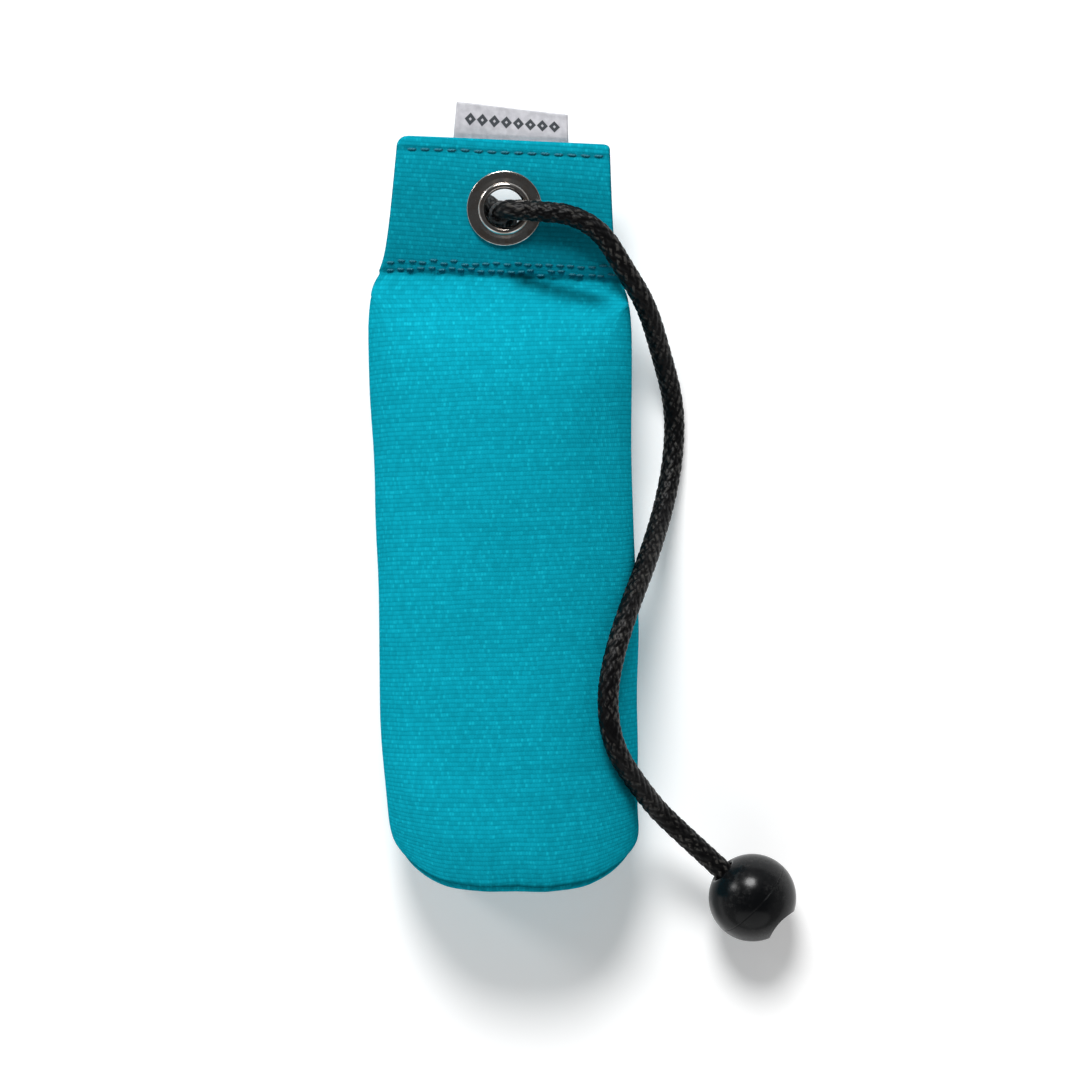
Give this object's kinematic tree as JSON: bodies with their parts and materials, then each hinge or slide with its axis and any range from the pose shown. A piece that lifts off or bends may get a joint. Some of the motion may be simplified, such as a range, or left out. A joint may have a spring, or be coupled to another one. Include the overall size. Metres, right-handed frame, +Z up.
{
  "type": "training bumper",
  "caption": "Stuffed canvas retrieving dummy with a flat tab, a metal eyelet, and a braided throwing cord that ends in a moulded ball sliding against a stopper bead.",
  "frame": {"origin": "on the floor plane under the middle of the canvas body, tab and label, with the bumper lying on its back", "axes": "+Y along the body towards the tab and its eyelet, +X to the right seen from above, +Z up from the floor"},
  "size_m": [0.1217, 0.2385, 0.045],
  "materials": {
    "canvas": "woven heavy canvas, matt",
    "filling": "loose granulate",
    "label": "fine woven label, soft sheen",
    "thread": "twisted sewing thread",
    "eyelet": "nickel plate, slightly darkened",
    "cord": "braided, with pale flecks",
    "ball": "satin gloss, moulded"
  },
  "bodies": {
    "bumper": {"canvas_cover": "canvas", "end_disc": "canvas", "filling": "filling", "woven_label": "label", "top_edge_stitches": "thread", "tab_base_stitches": "thread", "eyelet_barrel": "eyelet", "eyelet_washer": "eyelet", "cord": "cord", "cord_knot": "cord", "cord_tail": "cord", "cord_end_bead": "cord"},
    "ball": {"ball_cord_half": "ball", "ball_mouth_half": "ball"}
  },
  "joints": [
    {"name": "ball_slide", "type": "slide", "parent": "bumper", "child": "ball", "axis": [-0.7261, 0.6653, 0.1736], "range_m": [0, 0.012]}
  ]
}
